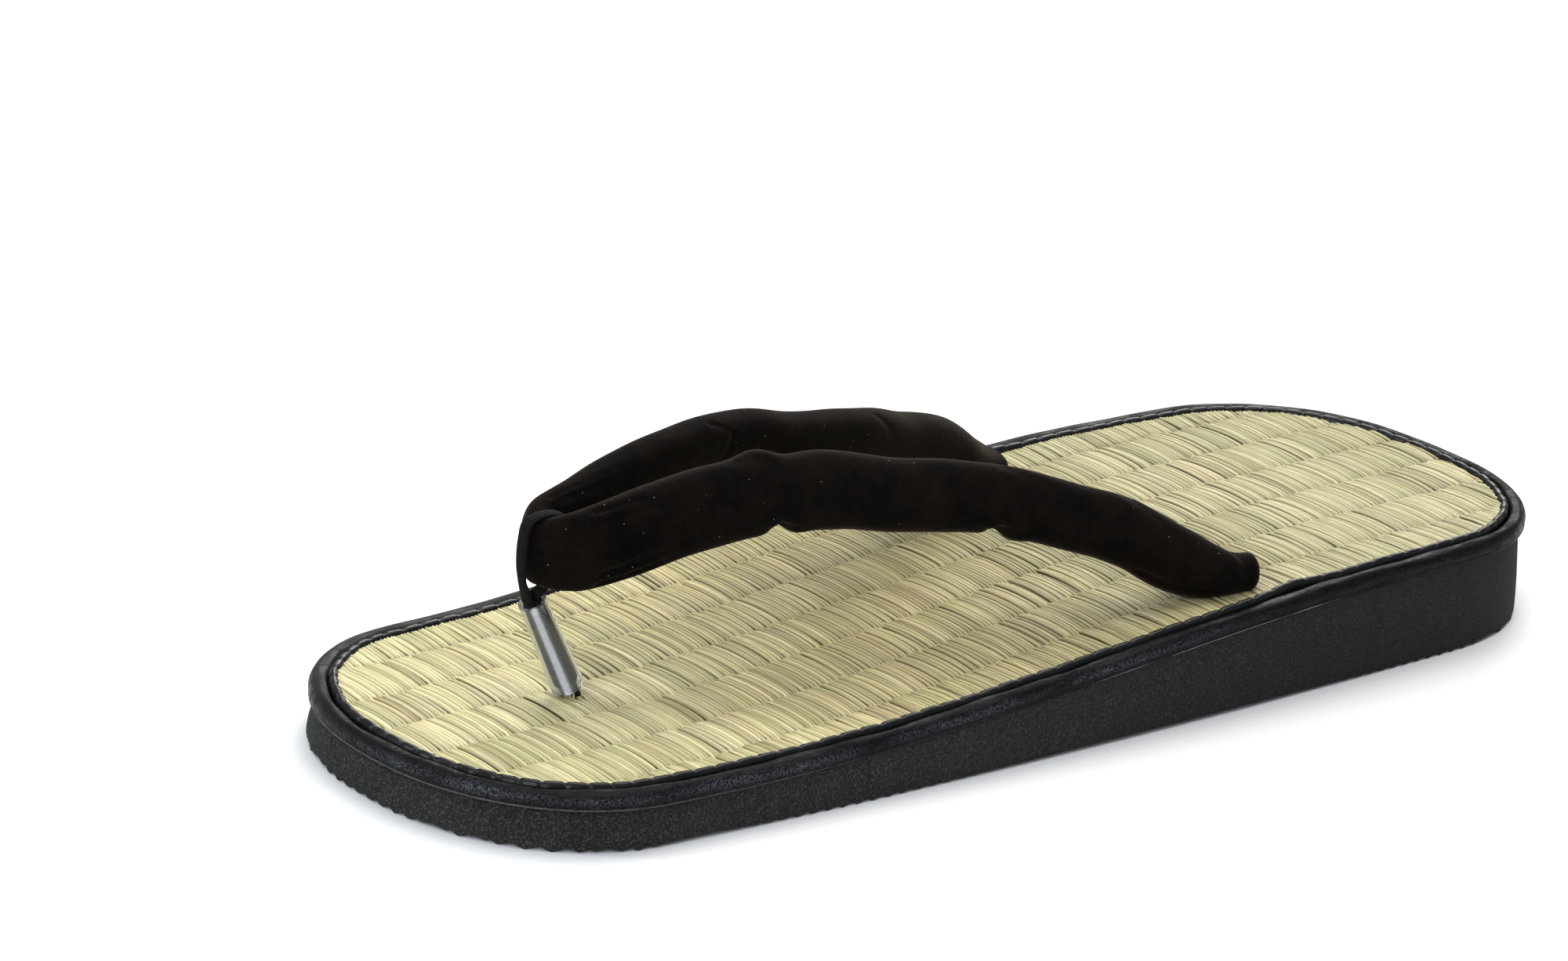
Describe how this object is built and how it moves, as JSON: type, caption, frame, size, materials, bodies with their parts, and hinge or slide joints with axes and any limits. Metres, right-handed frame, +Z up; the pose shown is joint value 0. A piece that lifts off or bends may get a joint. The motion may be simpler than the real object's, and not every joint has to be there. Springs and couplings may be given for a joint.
{
  "type": "zori sandal",
  "caption": "Thong sandal with a flat-bottomed foam wedge sole, a rush foot bed inside a bound edge, and padded velvet straps that meet at a toe thong in a clear sleeve.",
  "frame": {"origin": "centre of the footprint, on the floor under the sole", "axes": "+Z up, +Y from the toe to the heel, +X to the left of a wearer who looks along -Y"},
  "size_m": [0.0952, 0.27, 0.0551],
  "materials": {
    "foam": "fine-grained matt charcoal sponge",
    "welt_vinyl": "satin charcoal vinyl, worn pale along its edge",
    "binding": "glossy black vinyl bead, stitched",
    "rush": "woven pale straw-green rush in lengthwise bands",
    "velvet": "deep black velvet over padding",
    "thong": "black woven strip and cord",
    "clear_vinyl": "clear glossy vinyl tube"
  },
  "bodies": {
    "root": {"sole": "foam", "welt": "welt_vinyl", "edge_binding": "binding", "rush_mat": "rush", "strap": "velvet", "toe_thong": "thong", "toe_sleeve": "clear_vinyl"}
  },
  "joints": []
}
